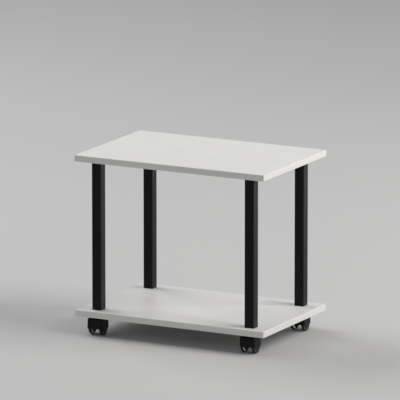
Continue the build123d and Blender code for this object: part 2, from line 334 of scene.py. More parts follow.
@dataclass(frozen=True)
class Laminate:
    """White melamine face: a faint pearl grain, slightly wavy gloss, wiping haze, a glue line."""

    white: Colour = (0.81, 0.80, 0.785)
    shade: Colour = (0.795, 0.785, 0.77)
    shading: Patches = Patches(60 * MM, 3.0, (0.35, 0.75))
    glue: Colour = (0.42, 0.40, 0.36)
    glue_width: float = 0.18 * MM
    glue_core: float = 0.4
    glue_share: float = 0.7
    gloss: float = 0.30
    wipes: Triple = (9.0, 26.0, 20.0)
    wipe_span: Span = (0.42, 0.72)
    wipe_haze: float = 0.05
    hairlines: Triple = (14.0, 900.0, 900.0)
    hairline_span: Span = (0.64, 0.74)
    hairline_haze: float = 0.03
    pearl: float = 0.9 * MM
    pearl_haze: float = 0.04
    pearl_relief: Relief = Relief(0.02 * MM, 0.30)
    wave: float = 22 * MM
    wave_relief: Relief = Relief(0.10 * MM, 0.25)

    def make(self, half_width: float, half_depth: float) -> bpy.types.Material:
        """Builds the material for boards of the given half sizes.

        Args:
            half_width: from the board's middle to its core's end along X.
            half_depth: the same along Y.

        Returns:
            The finished material.
        """
        web = NodeWeb("white_laminate_face")
        pearl = web.noise(self.pearl)
        x, y, _ = web.axes()
        edge = (abs(x) - half_width).above(abs(y) - half_depth)
        line = edge.rise(-self.glue_width, -self.glue_width * self.glue_core)
        face = web.blend(web.patches(self.shading), self.white, self.shade)
        web.drive("Base Color", web.blend(line * self.glue_share, face, self.glue))
        wiped = web.streaks(self.wipes, detail=4.0).rise(*self.wipe_span) * self.wipe_haze
        scratched = web.streaks(self.hairlines).rise(*self.hairline_span) * self.hairline_haze
        web.drive("Roughness", wiped + scratched + pearl * self.pearl_haze + self.gloss)
        web.set(IOR=1.50)
        waves = web.noise(self.wave, detail=1.0)
        web.emboss((waves, self.wave_relief), (pearl, self.pearl_relief))
        return web.material


@dataclass(frozen=True)
class EdgeBand:
    """White plastic edging: fine scraper lines along the board, burnished on its roundings."""

    white: Colour = (0.80, 0.79, 0.77)
    shade: Colour = (0.76, 0.75, 0.73)
    cloud: float = 45 * MM
    gloss: float = 0.34
    burnish: float = 0.08
    burnish_start: float = 1.6 * MM
    burnish_end: float = 0.5 * MM
    line: float = 0.35 * MM
    line_stretch: Triple = (0.012, 0.012, 1.0)
    line_haze: float = 0.10
    line_relief: Relief = Relief(0.025 * MM, 0.30)
    peel: float = 1.6 * MM
    peel_relief: Relief = Relief(0.03 * MM, 0.25)

    def make(self, mids: Sequence[float], half_height: float) -> bpy.types.Material:
        """Builds the material for bands whose middles are at the given heights.

        Args:
            mids: the height of each board's middle plane.
            half_height: half of the band's height.

        Returns:
            The finished material.
        """
        web = NodeWeb("white_edge_band_plastic")
        _, _, z = web.axes()
        off_middle = abs(z - mids[0]).below(abs(z - mids[1]))
        start, end = half_height - self.burnish_start, half_height - self.burnish_end
        burnished = off_middle.rise(start, end) * self.burnish
        lines = web.streaks(self.line_stretch, grain=self.line)
        clouds = web.noise(self.cloud, detail=3.0)
        web.drive("Base Color", web.blend(clouds, self.white, self.shade))
        web.drive("Roughness", lines * self.line_haze + self.gloss - burnished)
        web.set(IOR=1.52)
        web.emboss((lines, self.line_relief), (web.noise(self.peel), self.peel_relief))
        return web.material


@dataclass(frozen=True)
class PowderCoat:
    """Black powder coat on square tube: orange peel, a little polish and wear on the corners."""

    black: Colour = (0.0055, 0.0055, 0.006)
    rubbed: Colour = (0.022, 0.022, 0.023)
    rubbed_share: float = 0.6
    wear: Patches = Patches(9 * MM, 3.0, (0.45, 0.70))
    wear_start: float = 2.4 * MM
    wear_end: float = 0.9 * MM
    wear_polish: float = 0.08
    dust: Colour = (0.06, 0.058, 0.055)
    dust_share: float = 0.25
    dust_height: float = 14 * MM
    settling: Patches = Patches(3 * MM, 4.0, (0.5, 0.8))
    gloss: float = 0.36
    handling: Patches = Patches(30 * MM, 4.0, (0.40, 0.75))
    handling_haze: float = 0.08
    peel: float = 1.5 * MM
    peel_relief: Relief = Relief(0.16 * MM, 0.55)
    grit: float = 0.25 * MM
    grit_haze: float = 0.05
    grit_relief: Relief = Relief(0.015 * MM, 0.30)

    def make(self, posts: "PostLayout") -> bpy.types.Material:
        """Builds the material for posts at the layout's places.

        Args:
            posts: where the posts stand and how large they are.

        Returns:
            The finished material.
        """
        web = NodeWeb("black_powder_coat_satin")
        x, y, z = web.axes()
        across = abs(abs(x) - posts.half_span_x)
        along = abs(abs(y - posts.middle_y) - posts.half_span_y)
        reach = 2 * posts.half_size
        corner = (across + along).rise(reach - self.wear_start, reach - self.wear_end)
        worn = corner * web.patches(self.wear)
        settled = z.rise(posts.foot + self.dust_height, posts.foot) * web.patches(self.settling)
        coat = web.blend(worn * self.rubbed_share, self.black, self.rubbed)
        web.drive("Base Color", web.blend(settled * self.dust_share, coat, self.dust))
        grit = web.noise(self.grit)
        haze = web.patches(self.handling) * self.handling_haze + grit * self.grit_haze
        web.drive("Roughness", haze + self.gloss - worn * self.wear_polish)
        web.set(IOR=1.5, Specular_IOR_Level=0.15)
        peel = web.noise(self.peel, detail=1.0)
        web.emboss((peel, self.peel_relief), (grit, self.grit_relief))
        return web.material


@dataclass(frozen=True)
class HoodNylon:
    """Black moulded nylon with a fine spark-eroded grain, dustier towards the floor."""

    black: Colour = (0.007, 0.007, 0.0075)
    dust: Colour = (0.07, 0.066, 0.060)
    dust_heights: Span = (26 * MM, 9 * MM)
    dust_share: float = 0.35
    dust_haze: float = 0.2
    lint: Patches = Patches(1.2 * MM, 4.0, (0.50, 0.72))
    gloss: float = 0.42
    grain: float = 0.35 * MM
    grain_relief: Relief = Relief(0.03 * MM, 0.35)
    flow: float = 7 * MM
    flow_haze: float = 0.12
    flow_relief: Relief = Relief(0.05 * MM, 0.15)

    def make(self) -> bpy.types.Material:
        """Builds the material.

        Returns:
            The finished material.
        """
        web = NodeWeb("black_hood_nylon_grained")
        _, _, z = web.axes()
        flow = web.noise(self.flow, detail=3.0)
        dusty = z.rise(*self.dust_heights) * web.patches(self.lint)
        web.drive("Base Color", web.blend(dusty * self.dust_share, self.black, self.dust))
        web.drive("Roughness", flow * self.flow_haze + dusty * self.dust_haze + self.gloss)
        web.set(IOR=1.53, Specular_IOR_Level=0.14)
        web.emboss((web.noise(self.grain), self.grain_relief), (flow, self.flow_relief))
        return web.material


@dataclass(frozen=True)
class WheelNylon:
    """Black moulded nylon wheel: a matt, scuffed tread, smoother sides, the inner one smoothest.

    Spans along the profile are shares of its length, as the UV map's rows are.
    """

    black: Colour = (0.008, 0.008, 0.0085)
    scuffed: Colour = (0.045, 0.043, 0.041)
    scuff_span: Span = (0.40, 0.68)
    scuff_share: float = 0.7
    rings: Triple = (5.0, 260.0, 1.0)
    ring_haze: float = 0.06
    ring_relief: Relief = Relief(0.02 * MM, 0.30)
    grain: float = 0.3 * MM
    grain_relief: Relief = Relief(0.02 * MM, 0.25)
    gloss: float = 0.35
    inner_gloss: float = 0.12
    tread_haze: float = 0.22
    margin: float = 0.02

    def make(self, tread: Span) -> bpy.types.Material:
        """Builds the material; the profile runs from the inner face over the tread to the dish.

        Args:
            tread: the share of the profile's length at which the tread starts and ends.

        Returns:
            The finished material.
        """
        web = NodeWeb("black_wheel_nylon_worn")
        _, across, _ = web.axes(web.uv)
        outside = across.rise(tread[0] - self.margin, tread[0])
        on_tread = outside * across.rise(tread[1] + self.margin, tread[1])
        rings = web.streaks(self.rings, detail=3.0, source=web.uv)
        scuffs = on_tread * rings.rise(*self.scuff_span) * self.scuff_share
        web.drive("Base Color", web.blend(scuffs, self.black, self.scuffed))
        polish = outside * (self.gloss - self.inner_gloss) + self.inner_gloss
        web.drive("Roughness", on_tread * self.tread_haze + rings * self.ring_haze + polish)
        web.set(IOR=1.53, Specular_IOR_Level=0.32)
        web.emboss((rings, self.ring_relief), (web.noise(self.grain), self.grain_relief))
        return web.material


@dataclass(frozen=True)
class PlatedSteel:
    """Plated steel: a metal colour, clouded plating and fine turning marks."""

    name: str
    metal: Colour
    clouded: Colour
    gloss: float
    cloud: float = 3 * MM
    cloud_span: Span = (0.35, 0.7)
    cloud_haze: float = 0.15
    upright_marks: Triple = (120.0, 120.0, 5000.0)
    round_marks: Triple = (3.0, 60.0, 1.0)
    mark_haze: float = 0.08
    mark_relief: Relief = Relief(0.01 * MM, 0.3)

    def make(self, by_uv: bool = False) -> bpy.types.Material:
        """Builds the material.

        Args:
            by_uv: whether the turning marks follow the UV map's rows, as on a revolved piece,
                and not the height.

        Returns:
            The finished material.
        """
        web = NodeWeb(self.name)
        clouds = web.noise(self.cloud, detail=4.0)
        marks, source = (self.round_marks, web.uv) if by_uv else (self.upright_marks, web.place)
        turning = web.streaks(marks, source=source)
        clouding = clouds.rise(*self.cloud_span)
        web.drive("Base Color", web.blend(clouding, self.metal, self.clouded))
        web.drive("Roughness", clouds * self.cloud_haze + turning * self.mark_haze + self.gloss)
        web.set(Metallic=1.0)
        web.emboss((turning, self.mark_relief))
        return web.material


@dataclass(frozen=True)
class PlugNylon:
    """Matt black moulding for the plugs inside the posts."""

    black: Colour = (0.014, 0.014, 0.014)
    worn: Colour = (0.030, 0.030, 0.030)
    worn_span: Span = (0.55, 0.8)
    gloss: float = 0.50
    grain: float = 0.5 * MM
    grain_haze: float = 0.12
    grain_relief: Relief = Relief(0.03 * MM, 0.3)

    def make(self) -> bpy.types.Material:
        """Builds the material.

        Returns:
            The finished material.
        """
        web = NodeWeb("black_plug_nylon_matt")
        grain = web.noise(self.grain, detail=3.0)
        worn = grain.rise(*self.worn_span)
        web.drive("Base Color", web.blend(worn, self.black, self.worn))
        web.drive("Roughness", grain * self.grain_haze + self.gloss)
        web.emboss((grain, self.grain_relief))
        return web.material


# ------------------------------------------------------------------------- surfaces from grids
@dataclass(frozen=True)
class Weave:
    """How a grid of points closes into a surface: round its columns, its rows, or to poles."""

    rows_meet: bool = False
    first_row_is_pole: bool = False
    last_row_is_pole: bool = False


def surface(name: str, points: Numbers, weave: Weave) -> bpy.types.Object:
    """Makes a smooth mesh object from a grid of points whose columns always meet.

    Each cell of the grid is one face, a pole row is one vertex with a fan of triangles, and UV
    runs once round the columns and once along the rows. The winding is turned so that the
    enclosed volume, a third of the sum of each face's centre times its area vector, is positive.

    Args:
        name: the object's name.
        points: array of rows by columns by 3, in metres.
        weave: how the rows close.

    Returns:
        The new object, linked to the scene.
    """
    rows, columns = points.shape[:2]
    index = np.arange(rows * columns).reshape(rows, columns)
    if weave.first_row_is_pole:
        index[0] = index[0, 0]
    if weave.last_row_is_pole:
        index[-1] = index[-1, 0]
    last = rows if weave.rows_meet else rows - 1
    row, column = np.meshgrid(np.arange(last), np.arange(columns), indexing="ij")
    below, beside = (row + 1) % rows, (column + 1) % columns
    cell = [index[row, column], index[row, beside], index[below, beside], index[below, column]]
    corners = np.stack(cell, axis=-1).reshape(-1, 4)
    u = np.stack([column, column + 1, column + 1, column], axis=-1).reshape(-1, 4) / columns
    v = np.stack([row, row, row + 1, row + 1], axis=-1).reshape(-1, 4) / last
    flat = points.reshape(-1, 3)
    first, second, third, fourth = (flat[corners[:, k]] for k in range(4))
    area = np.cross(third - first, fourth - second)
    if np.einsum("ij,ij->", (first + second + third + fourth), area) < 0:
        corners, u, v = corners[:, ::-1], u[:, ::-1], v[:, ::-1]
    used, compact = np.unique(corners, return_inverse=True)
    compact = compact.reshape(corners.shape)
    keep = compact != np.roll(compact, 1, axis=1)
    faces = [face[mask].tolist() for face, mask in zip(compact, keep)]
    mesh = bpy.data.meshes.new(name)
    mesh.from_pydata(flat[used].tolist(), [], faces)
    layer = mesh.uv_layers.new(name="UVMap")
    layer.data.foreach_set("uv", np.stack([u[keep], v[keep]], axis=-1).ravel())
    mesh.polygons.foreach_set("use_smooth", np.ones(len(faces), bool))
    mesh.update()
    piece = bpy.data.objects.new(name, mesh)
    bpy.context.scene.collection.objects.link(piece)
    return piece


def rounded_route(corners: Sequence[Triple], step: float, arc_steps: int = 5) -> Numbers:
    """Points along a flat route whose corners are rounded by arcs.

    At a corner the arc of radius r is tangent to both runs, so it starts r times the tangent of
    half the turn before the corner. Straight runs are divided into steps of even length.

    Args:
        corners: (x, y, radius) of each corner; the ends' radii aren't used.
        step: the longest step on a straight run.
        arc_steps: the number of steps on each arc.

    Returns:
        Array of points by 2.
    """
    table = np.asarray(corners, float)
    spots, radii = table[:, :2], table[:, 2]
    pieces = [spots[:1]]
    for here, before, after, radius in zip(spots[1:-1], spots[:-2], spots[2:], radii[1:-1]):
        into = (here - before) / np.linalg.norm(here - before)
        out = (after - here) / np.linalg.norm(after - here)
        turn = math.acos(float(np.clip(into @ out, -1.0, 1.0)))
        if radius <= 0 or turn < NO_TURN:
            pieces.append(here[None])
            continue
        start = here - into * radius * math.tan(turn / 2)
        side = np.sign(into[0] * out[1] - into[1] * out[0]) * np.array([-into[1], into[0]])
        angle = np.linspace(0.0, turn, arc_steps + 1)[:, None]
        pieces.append(start + radius * (np.sin(angle) * into + (1 - np.cos(angle)) * side))
    pieces.append(spots[-1:])
    bends = np.concatenate(pieces)
    runs = [
        np.linspace(a, b, max(1, math.ceil(np.linalg.norm(b - a) / step)), endpoint=False)
        for a, b in zip(bends[:-1], bends[1:])
    ]
    return np.concatenate([*runs, bends[-1:]])


def smooth_step(value: Numbers, start: float, end: float) -> Numbers:
    """An S curve from 0 at start to 1 at end: 3 t squared minus 2 t cubed."""
    share = np.clip((value - start) / (end - start), 0.0, 1.0)
    return share * share * (3 - 2 * share)


def quarter_turn(count: int) -> Numbers:
    """Evenly spread angles from 0 to a quarter turn."""
    return np.linspace(0.0, math.pi / 2, count)


def middle_of(node: str) -> Vector:
    """The middle of a frame node's box, in metres."""
    low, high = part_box(node)
    return (low + high) / 2


# ------------------------------------------------------------------------------- the casters
@dataclass(frozen=True)
class Wheel:
    """A caster wheel and its plate as revolved profiles, in millimetres.

    Distances along are from the hub's inner face, and distances out are from the axis. A pocket's
    walls start and end that far inside the dish's floor. A rib's top is its share of the pitch
    between pockets, and its foot is wider by the given factor.
    """

    bore_end: float = 9.2
    bore_radius: float = 3.05
    inner_hub_radius: float = 6.5
    disc_face: float = 3.8
    recess_radii: tuple[float, float] = (8.0, 15.6)
    recess_depth: float = 0.5
    tread_drop: float = 0.12
    dish_floor: float = 9.1
    rim_radius: float = 14.2
    hub_radius: float = 6.4
    hub_edge: float = 10.0
    dish_slope: float = 1.2
    pocket_depth: float = 0.8
    pocket_count: int = 6
    pocket_walls: Span = (0.2, 1.0)
    pocket_face: float = 0.5
    rib_share: float = 0.16
    rib_foot: float = 2.2
    plate_radii: tuple[float, float] = (8.6, 14.9)
    plate_thickness: float = 0.4
    plate_rounding: float = 0.15
    plate_seat: float = 0.05
    step: float = 0.5
    columns: int = 120

    def size_of(self, node: str) -> tuple[float, float]:
        """The width and the radius of a frame's wheel, in millimetres."""
        low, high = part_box(node)
        return (high.x - low.x) / MM, (high.z - low.z) / 2 / MM

    def profile(self, width: float, radius: float) -> Numbers:
        """The profile from the bore's blind end round the tread to the outer hub's centre.

        Each of its corners is a distance along, a distance out and the corner's rounding.

        Args:
            width: the wheel's width.
            radius: the wheel's radius.

        Returns:
            Array of points by 2: along the axis from the hub's inner face, and out from the axis.
        """
        face, recessed = self.disc_face, self.disc_face + self.recess_depth
        recess_start, recess_end = self.recess_radii
        inner_rim = self.rim_radius - self.dish_slope
        outer_hub = self.hub_radius + self.dish_slope
        return rounded_route(
            [
                (self.bore_end, 0.0, 0.0),
                (self.bore_end, self.bore_radius, 0.2),
                (0.0, self.bore_radius, 0.3),
                (0.0, self.inner_hub_radius, 0.5),
                (recessed, recess_start, 0.4),
                (recessed, recess_end - self.recess_depth, 0.3),
                (face, recess_end, 0.3),
                (face, radius - self.tread_drop, 1.1),
                ((face + width) / 2, radius, 6.0),
                (width, radius - self.tread_drop, 1.2),
                (width, self.rim_radius, 0.5),
                (self.dish_floor, inner_rim, 0.5),
                (self.dish_floor, outer_hub, 0.5),
                (self.hub_edge, self.hub_radius, 0.6),
                (width, 0.0, 0.0),
            ],
            self.step,
        )

    def tread_shares(self, width: float, radius: float) -> Span:
        """Finds the tread on the profile: the rows within twice its drop of the radius.

        Args:
            width: the wheel's width.
            radius: the wheel's radius.

        Returns:
            The shares of the profile's rows at which the tread starts and ends.
        """
        rows = self.profile(width, radius)
        tread = np.flatnonzero(rows[:, 1] > radius - 2 * self.tread_drop)
        return tread[0] / (len(rows) - 1), tread[-1] / (len(rows) - 1)

    def build(self, name: str, node: str, hand: Hand) -> bpy.types.Object:
        """Revolves the profile about the axle, with shallow pockets pressed into its dish.

        A point is (along, out cos a, out sin a); a pocket lowers it along the axis by its depth
        times one S curve across the dish and another round it between two ribs.

        Args:
            name: the new piece's name.
            node: the frame's wheel that it stands for, which gives its place and size.
            hand: the wheel's side of the caster.

        Returns:
            The new piece.
        """
        along, out = self.profile(*self.size_of(node)).T[:, :, None]
        inner, outer = self.hub_radius + self.dish_slope, self.rim_radius - self.dish_slope
        top, foot = self.pocket_walls
        across = smooth_step(out, inner + top, inner + foot)
        across = across * smooth_step(-out, -outer + top, -outer + foot)
        turn = np.abs((self.angles() * self.pocket_count / (2 * math.pi)) % 1.0 - 0.5) * 2
        between = smooth_step(-turn, self.rib_share - 1, self.rib_foot * self.rib_share - 1)
        on_face = along > self.dish_floor - self.pocket_face
        along = along - self.pocket_depth * across * between * on_face
        grid = self.carry_round(along, out, node, hand)
        return surface(name, grid, Weave(first_row_is_pole=True, last_row_is_pole=True))

    def build_plate(self, name: str, node: str, hand: Hand) -> bpy.types.Object:
        """Builds the plated steel disc that lies in the wheel's inner recess round the hub.

        Its section is a flat strip with rounded edges, seated a little way into the wheel.

        Args:
            name: the new piece's name.
            node: the frame's wheel, which gives the place.
            hand: the wheel's side of the caster.

        Returns:
            The new piece.
        """
        back = self.disc_face + self.recess_depth + self.plate_seat
        front = back - self.plate_thickness
        inner, outer = self.plate_radii
        rounding = self.plate_rounding
        strip = [
            (back, inner, 0.0),
            (front, inner, rounding),
            (front, outer, rounding),
            (back, outer, 0.0),
        ]
        along, out = rounded_route(strip, self.step).T[:, :, None]
        return surface(name, self.carry_round(along, out, node, hand), Weave(rows_meet=True))

    def angles(self) -> Numbers:
        """The columns' angles round the axle, as one row."""
        return np.linspace(0.0, 2 * math.pi, self.columns, endpoint=False)[None, :]

    def carry_round(self, along: Numbers, out: Numbers, node: str, hand: Hand) -> Numbers:
        """Carries a section round the axle: a point is (along, out cos a, out sin a) at angle a.

        Args:
            along: the distance along the axis from the hub's inner face, rows by 1 or columns.
            out: the distance from the axis, rows by 1.
            node: the frame's wheel, whose middle is on the axle.
            hand: the wheel's side of the caster.

        Returns:
            Array of rows by columns by 3, in metres.
        """
        low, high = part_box(node)
        face = low.x if hand is Hand.RIGHT else high.x
        middle, angle = middle_of(node), self.angles()
        return np.stack(
            np.broadcast_arrays(
                face + hand.value * along * MM,
                middle.y + out * np.cos(angle) * MM,
                middle.z + out * np.sin(angle) * MM,
            ),
            axis=-1,
        )


@dataclass(frozen=True)
class Hood:
    """A caster's hood: a shell carried round a rounded rectangle, and the keel inside it.

    Lengths are millimetres. Heights are from the floor; sides are from the hood's middle. The
    shares place the roof's rows between the bore's edge and the wall.
    """

    corner: float = 6.0
    wall: float = 1.5
    taper: float = 2.0
    hem: float = 16.5
    roof: float = 2.0
    top_rounding: float = 3.5
    inside_rounding: float = 0.8
    bore_radius: float = 4.05
    axle_height: float = 17.5
    lip_half_width: float = 7.0
    lip_tip: float = 7.5
    lip_radius: float = 20.4
    lip_softness: float = 0.5
    notch_top: float = 19.2
    notch_end: float = 12.0
    keel_half_width: float = 7.3
    keel_half_length: float = 19.0
    keel_boss: float = 5.5
    keel_hip: float = 22.0
    keel_hip_rounding: float = 1.5
    keel_shoulder: float = 34.0
    keel_shoulder_rounding: float = 1.0
    keel_lean: float = 0.4
    keel_neck: float = 15.0
    keel_roof: float = 40.8
    keel_centre: float = 27.0
    keel_edge: float = 0.5
    keel_step: float = 1.2
    socket_radius: float = 4.7
    socket_floor: float = 23.0
    arc_columns: int = 12
    straight_columns: int = 64
    rounding_rows: int = 8
    outside_rows: int = 22
    inside_rows: int = 18
    fillet_rows: int = 5
    outer_roof_shares: tuple[float, ...] = (0.0, 0.03, 0.3, 0.6, 0.9)
    inner_roof_shares: tuple[float, ...] = (0.9, 0.6, 0.3, 0.03, 0.0)
    face_rows: int = 12
    socket_rows: int = 32
    socket_columns: int = 70

    def ring(self) -> tuple[Numbers, Numbers]:
        """The unit path round a rounded rectangle.

        Returns:
            The corner shares, columns by 2, each from -1 to 1 along the straights, and the
            outward normals, columns by 2. A point of the ring with half sizes h and corner
            radius r is shares times (h - r) plus normals times r.
        """
        sweep = np.linspace(0.0, math.pi / 2, self.arc_columns, endpoint=False)
        run = np.linspace(-1.0, 1.0, self.straight_columns, endpoint=False)
        shares, normals = [], []
        for quarter in range(4):
            turn = quarter * math.pi / 2
            cos, sin = round(math.cos(turn)), round(math.sin(turn))
            spin = np.array([[cos, sin], [-sin, cos]])
            side = np.stack([np.ones_like(run), run], axis=-1)
            facing = np.tile([1.0, 0.0], (len(run), 1))
            corner = np.ones((len(sweep), 2))
            fan = np.stack([np.cos(sweep), np.sin(sweep)], axis=-1)
            shares += [side @ spin, corner @ spin]
            normals += [facing @ spin, fan @ spin]
        return np.concatenate(shares), np.concatenate(normals)

    def hem_height(self, x: Numbers, front: Numbers) -> Numbers:
        """The hem's height: level, but at the front it dips to a pointed lip between two notches.

        From the lip's tip the hem rises straight with the softened distance from the middle, up
        past the level hem to the notch's top, and falls straight back to level at its end.

        Args:
            x: the distance across from the caster's middle.
            front: 1 on the front straight and 0 elsewhere.

        Returns:
            The height at each x.
        """
        distance = np.sqrt(x * x + self.lip_softness**2) - self.lip_softness
        rise = (self.hem - self.lip_tip) / self.lip_half_width
        notch = (self.notch_top - self.lip_tip) / rise
        spots = [0.0, notch, self.notch_end]
        shaped = np.interp(distance, spots, [self.lip_tip, self.notch_top, self.hem])
        return self.hem + front * (shaped - self.hem)

    def offset_at(self, height: Numbers | float) -> Numbers:
        """The outer wall's offset from the path: its corner less the taper's lean over the hem."""
        lean = math.tan(math.radians(self.taper))
        return self.corner - (np.maximum(height, self.hem) - self.hem) * lean

    def curl(self, height: Numbers) -> Numbers:
        """How far the front wall lies back below the axle: a circle's sagitta."""
        drop = np.minimum(height - self.axle_height, 0.0)
        return self.lip_radius - np.sqrt(self.lip_radius**2 - drop**2)

    def wall_profile(self, top: float, hem: Numbers) -> list[tuple[Numbers, Numbers]]:
        """The wall's rows, each an offset out from the ring's path and a height.

        They run over the rounded top edge, down the outer wall to the hem, round the hem in a
        half circle, and up inside to the ceiling, into which they turn by a quarter circle.

        Args:
            top: the roof's height.
            hem: the hem's height at each column.

        Returns:
            The rows in order; each part is one number or one for each column.
        """
        edge, round_top = top - self.top_rounding, self.top_rounding
        over = self.offset_at(edge) - round_top
        arc = quarter_turn(self.rounding_rows)
        rows = [(over + round_top * math.sin(a), edge + round_top * math.cos(a)) for a in arc]
        lowest = hem + self.wall / 2
        for share in np.linspace(0.0, 1.0, self.outside_rows)[1:]:
            height = edge + (lowest - edge) * share
            rows.append((self.offset_at(height), height))
        for a in np.linspace(0.0, math.pi, self.rounding_rows)[1:-1]:
            inward = self.wall / 2 * (1 - math.cos(a))
            rows.append((self.offset_at(lowest) - inward, lowest - self.wall / 2 * math.sin(a)))
        fillet = self.inside_rounding
        below = top - self.roof - fillet
        for share in np.linspace(0.0, 1.0, self.inside_rows):
            height = lowest + (below - lowest) * share
            rows.append((self.offset_at(height) - self.wall, height))
        inside = self.offset_at(below) - self.wall - fillet
        for a in quarter_turn(self.fillet_rows)[1:]:
            rows.append((inside + fillet * math.cos(a), below + fillet * math.sin(a)))
        return rows

    def build_shell(self, name: str, node: str, stem_node: str) -> bpy.types.Object:
        """Carries the wall's profile round the ring and closes it with a roof round the stem.

        A wall point is the path plus its normal times the row's offset, and below the axle the
        front wall curves back. A roof point lies on the line from the bore's edge to the wall.

        Args:
            name: the new piece's name.
            node: the frame's hood, which gives the place and the outer size.
            stem_node: the frame's stem, which gives the bore's centre.

        Returns:
            The new piece.
        """
        low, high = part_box(node)
        middle, stem = middle_of(node) / MM, middle_of(stem_node) / MM
        top = high.z / MM
        half = np.array([high.x - low.x, high.y - low.y]) / 2 / MM - self.corner
        shares, normals = self.ring()
        path = shares * half
        front = (normals[:, 1] < FACING_FRONT).astype(float)
        hem = self.hem_height(path[:, 0], front)

        def place(offset: Numbers, height: Numbers) -> Numbers:
            """Places one row of the grid.

            Args:
                offset: how far the row lies out from the path.
                height: its height; like the offset, one number or one for each column.

            Returns:
                Array of columns by 3, in millimetres.
            """
            height = np.broadcast_to(height, hem.shape)
            spot = path + normals * np.broadcast_to(offset, hem.shape)[:, None]
            y = middle.y + spot[:, 1] + front * self.curl(height)
            return np.stack([middle.x + spot[:, 0], y, height], axis=-1)

        wall = [place(offset, height) for offset, height in self.wall_profile(top, hem)]
        bearing = np.arctan2(wall[0][:, 1] - stem.y, wall[0][:, 0] - stem.x)
        bore_x = stem.x + self.bore_radius * np.cos(bearing)
        bore_y = stem.y + self.bore_radius * np.sin(bearing)
        upper, lower = (
            np.stack([bore_x, bore_y, np.full(len(bearing), height)], axis=-1)
            for height in (top, top - self.roof)
        )
        outer_roof = [upper + (wall[0] - upper) * share for share in self.outer_roof_shares]
        inner_roof = [lower + (wall[-1] - lower) * share for share in self.inner_roof_shares]
        grid = np.stack([*outer_roof, *wall, *inner_roof]) * MM
        return surface(name, grid, Weave(rows_meet=True))

    def keel_outline(self) -> Numbers:
        """The keel seen from the side: a boss round the axle, straight flanks, and shoulders.

        A flank touches the boss where the bearing of the hip, less the arc cosine of the boss's
        radius over the hip's distance, meets its circle.

        Returns:
            Array of points by 2, from the lowest point round: along, and up from the floor.
        """
        hip = np.array([self.keel_half_length, self.keel_hip - self.axle_height])
        touch = math.atan2(hip[1], hip[0]) - math.acos(self.keel_boss / float(np.linalg.norm(hip)))
        arc = np.linspace(-math.pi / 2, touch, self.rounding_rows)
        boss = self.keel_boss * np.stack([np.cos(arc), np.sin(arc)], axis=-1)
        boss = boss + [0.0, self.axle_height]
        rounding = self.keel_shoulder_rounding
        side = rounded_route(
            [
                (*boss[-1], 0.0),
                (self.keel_half_length, self.keel_hip, self.keel_hip_rounding),
                (self.keel_half_length - self.keel_lean, self.keel_shoulder, rounding),
                (self.keel_neck, self.keel_shoulder, rounding),
                (self.keel_neck, self.keel_roof, 0.0),
            ],
            self.keel_step,
        )
        half = np.concatenate([boss, side[1:]])
        corner, mirror = half[-1], [-1, 1]
        roof = np.linspace(corner, corner * mirror, self.socket_columns, endpoint=False)[1:]
        return np.concatenate([half, roof, half[:0:-1] * mirror])

    def build_keel(self, name: str, node: str, stem_node: str) -> bpy.types.Object:
        """Builds the web between the wheels as a pillow: the outline on two flat, eased faces.

        A face point is the outline drawn in towards the keel's centre; over the last of the way
        the surface turns through a quarter circle of the edge's radius to the rim. Rows across
        the rim join the faces, and on the roof their points that lie within the socket's radius
        of the stem drop to the socket's floor.

        Args:
            name: the new piece's name.
            node: the frame's hood, which gives the place.
            stem_node: the frame's stem, which gives the socket's centre.

        Returns:
            The new piece.
        """
        middle, stem = middle_of(node) / MM, middle_of(stem_node) / MM
        outline = self.keel_outline()
        centre = np.array([0.0, self.keel_centre])
        reach = outline - centre
        length = np.linalg.norm(reach, axis=1, keepdims=True)
        drawn_in = reach * (1 - self.keel_edge / length)
        face_shares = np.linspace(0.0, 1.0, self.face_rows)
        rows = [(self.keel_half_width, centre + drawn_in * share) for share in face_shares]
        for a in quarter_turn(self.fillet_rows)[1:]:
            eased = self.keel_edge * (1 - math.sin(a))
            out = self.keel_half_width - self.keel_edge * (1 - math.cos(a))
            rows.append((out, centre + reach * (1 - eased / length)))
        sides = [np.column_stack([np.full(len(spot), -out), spot]) for out, spot in rows]
        mirrored = [side * [-1, 1, 1] for side in reversed(sides)]
        flat = self.keel_half_width - self.keel_edge
        between = np.linspace(-flat, flat, self.socket_rows)[1:-1]
        x, y = np.meshgrid(between, outline[:, 0], indexing="ij")
        z = np.broadcast_to(outline[:, 1], x.shape)
        from_stem = np.hypot(x + middle.x - stem.x, y + middle.y - stem.y)
        in_socket = (z > self.keel_roof - LEVEL_MARGIN) & (from_stem < self.socket_radius)
        rim = np.stack([x, y, np.where(in_socket, self.socket_floor, z)], axis=-1)
        grid = (np.concatenate([sides, rim, mirrored]) + [middle.x, middle.y, 0.0]) * MM
        return surface(name, grid, Weave(first_row_is_pole=True, last_row_is_pole=True))


